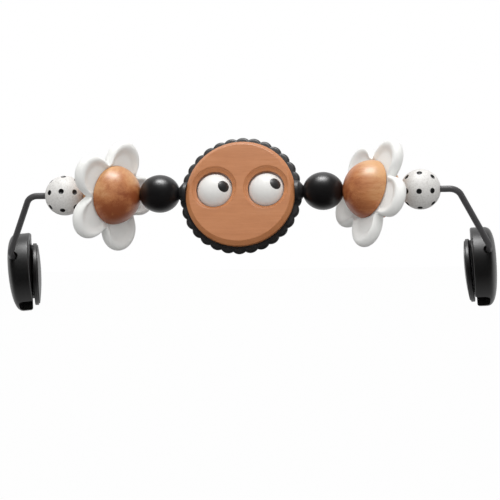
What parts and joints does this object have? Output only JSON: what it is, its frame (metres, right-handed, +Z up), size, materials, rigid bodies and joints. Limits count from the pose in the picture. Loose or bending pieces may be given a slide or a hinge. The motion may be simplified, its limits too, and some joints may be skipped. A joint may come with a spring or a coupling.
{
  "type": "bouncer toy bar",
  "caption": "Toy bar for a baby bouncer: bent black rod with turned wooden beads, white petal wheels, a wooden face disc with rolling eyes in a scalloped ring, and round sprung clips.",
  "frame": {"origin": "centre of the whole part's bounding box at rest", "axes": "+X along the rod towards the right-hand clip as seen by the viewer, -Y towards the viewer, +Z up"},
  "size_m": [0.508, 0.1698, 0.1734],
  "materials": {
    "beech": "oiled satin",
    "white_paint": "satin paint",
    "black_paint": "satin gloss paint",
    "pupil_gloss": "gloss",
    "ring_plastic": "satin",
    "clip_plastic": "satin",
    "rod_coat": "satin powder coat",
    "spring_steel": "bright wire"
  },
  "bodies": {
    "bar": {"support_rod": "rod_coat"},
    "disc": {"front_disc_half": "beech", "rear_disc_half": "beech", "scalloped_ring": "ring_plastic"},
    "left_eye": {"left_eyeball": "white_paint", "left_pupil": "pupil_gloss"},
    "left_black_bead": {"left_black_bead": "black_paint"},
    "left_flower": {"left_ball_front_half": "beech", "left_ball_rear_half": "beech", "left_petal_plate": "white_paint"},
    "left_dotted_bead": {"left_dotted_bead": "white_paint"},
    "left_clip": {"left_clip_housing": "clip_plastic", "left_hinge_pin": "spring_steel", "left_hinge_spring": "spring_steel"},
    "left_jaw": {"left_clip_jaw": "clip_plastic", "left_jaw_cover": "clip_plastic"},
    "right_eye": {"right_eyeball": "white_paint", "right_pupil": "pupil_gloss"},
    "right_black_bead": {"right_black_bead": "black_paint"},
    "right_flower": {"right_ball_front_half": "beech", "right_ball_rear_half": "beech", "right_petal_plate": "white_paint"},
    "right_dotted_bead": {"right_dotted_bead": "white_paint"},
    "right_clip": {"right_clip_housing": "clip_plastic", "right_hinge_pin": "spring_steel", "right_hinge_spring": "spring_steel"},
    "right_jaw": {"right_clip_jaw": "clip_plastic", "right_jaw_cover": "clip_plastic"}
  },
  "joints": [
    {"name": "disc_spin", "type": "hinge", "parent": "bar", "child": "disc", "pos_m": [0.00326, -0.03792, 0.03162], "axis": [1, 0, 0], "continuous": true},
    {"name": "left_eye_roll", "type": "hinge", "parent": "bar", "child": "left_eye", "pos_m": [-0.02274, -0.03792, 0.03162], "axis": [1, 0, 0], "continuous": true},
    {"name": "left_black_bead_spin", "type": "hinge", "parent": "bar", "child": "left_black_bead", "pos_m": [-0.07913, -0.03792, 0.03162], "axis": [1, 0, 0], "continuous": true},
    {"name": "left_flower_spin", "type": "hinge", "parent": "bar", "child": "left_flower", "pos_m": [-0.12776, -0.03792, 0.03162], "axis": [1, 0, 0], "continuous": true},
    {"name": "left_dotted_bead_spin", "type": "hinge", "parent": "bar", "child": "left_dotted_bead", "pos_m": [-0.1762, -0.03792, 0.03162], "axis": [1, 0, 0], "continuous": true},
    {"name": "left_clip_swivel", "type": "hinge", "parent": "bar", "child": "left_clip", "pos_m": [-0.24312, 0.02745, -0.03798], "axis": [-0.0481, 0.8983, -0.4367], "range_deg": [-12, 12]},
    {"name": "left_jaw_hinge", "type": "hinge", "parent": "left_clip", "child": "left_jaw", "pos_m": [-0.23579, 0.04504, -0.04542], "axis": [-0.12, 0.4288, 0.8954], "range_deg": [0, 6], "stiffness_Nm_per_rad": 0.4, "springref_deg": -17.19},
    {"name": "right_eye_roll", "type": "hinge", "parent": "bar", "child": "right_eye", "pos_m": [0.02926, -0.03792, 0.03162], "axis": [1, 0, 0], "continuous": true},
    {"name": "right_black_bead_spin", "type": "hinge", "parent": "bar", "child": "right_black_bead", "pos_m": [0.08564, -0.03792, 0.03162], "axis": [1, 0, 0], "continuous": true},
    {"name": "right_flower_spin", "type": "hinge", "parent": "bar", "child": "right_flower", "pos_m": [0.13428, -0.03792, 0.03162], "axis": [1, 0, 0], "continuous": true},
    {"name": "right_dotted_bead_spin", "type": "hinge", "parent": "bar", "child": "right_dotted_bead", "pos_m": [0.18272, -0.03792, 0.03162], "axis": [1, 0, 0], "continuous": true},
    {"name": "right_clip_swivel", "type": "hinge", "parent": "bar", "child": "right_clip", "pos_m": [0.24597, 0.02737, -0.03803], "axis": [-0.074, 0.8958, -0.4382], "range_deg": [-12, 12]},
    {"name": "right_jaw_hinge", "type": "hinge", "parent": "right_clip", "child": "right_jaw", "pos_m": [0.23633, 0.04333, -0.04645], "axis": [0.067, -0.4339, -0.8984], "range_deg": [0, 6], "stiffness_Nm_per_rad": 0.4, "springref_deg": -17.19}
  ]
}
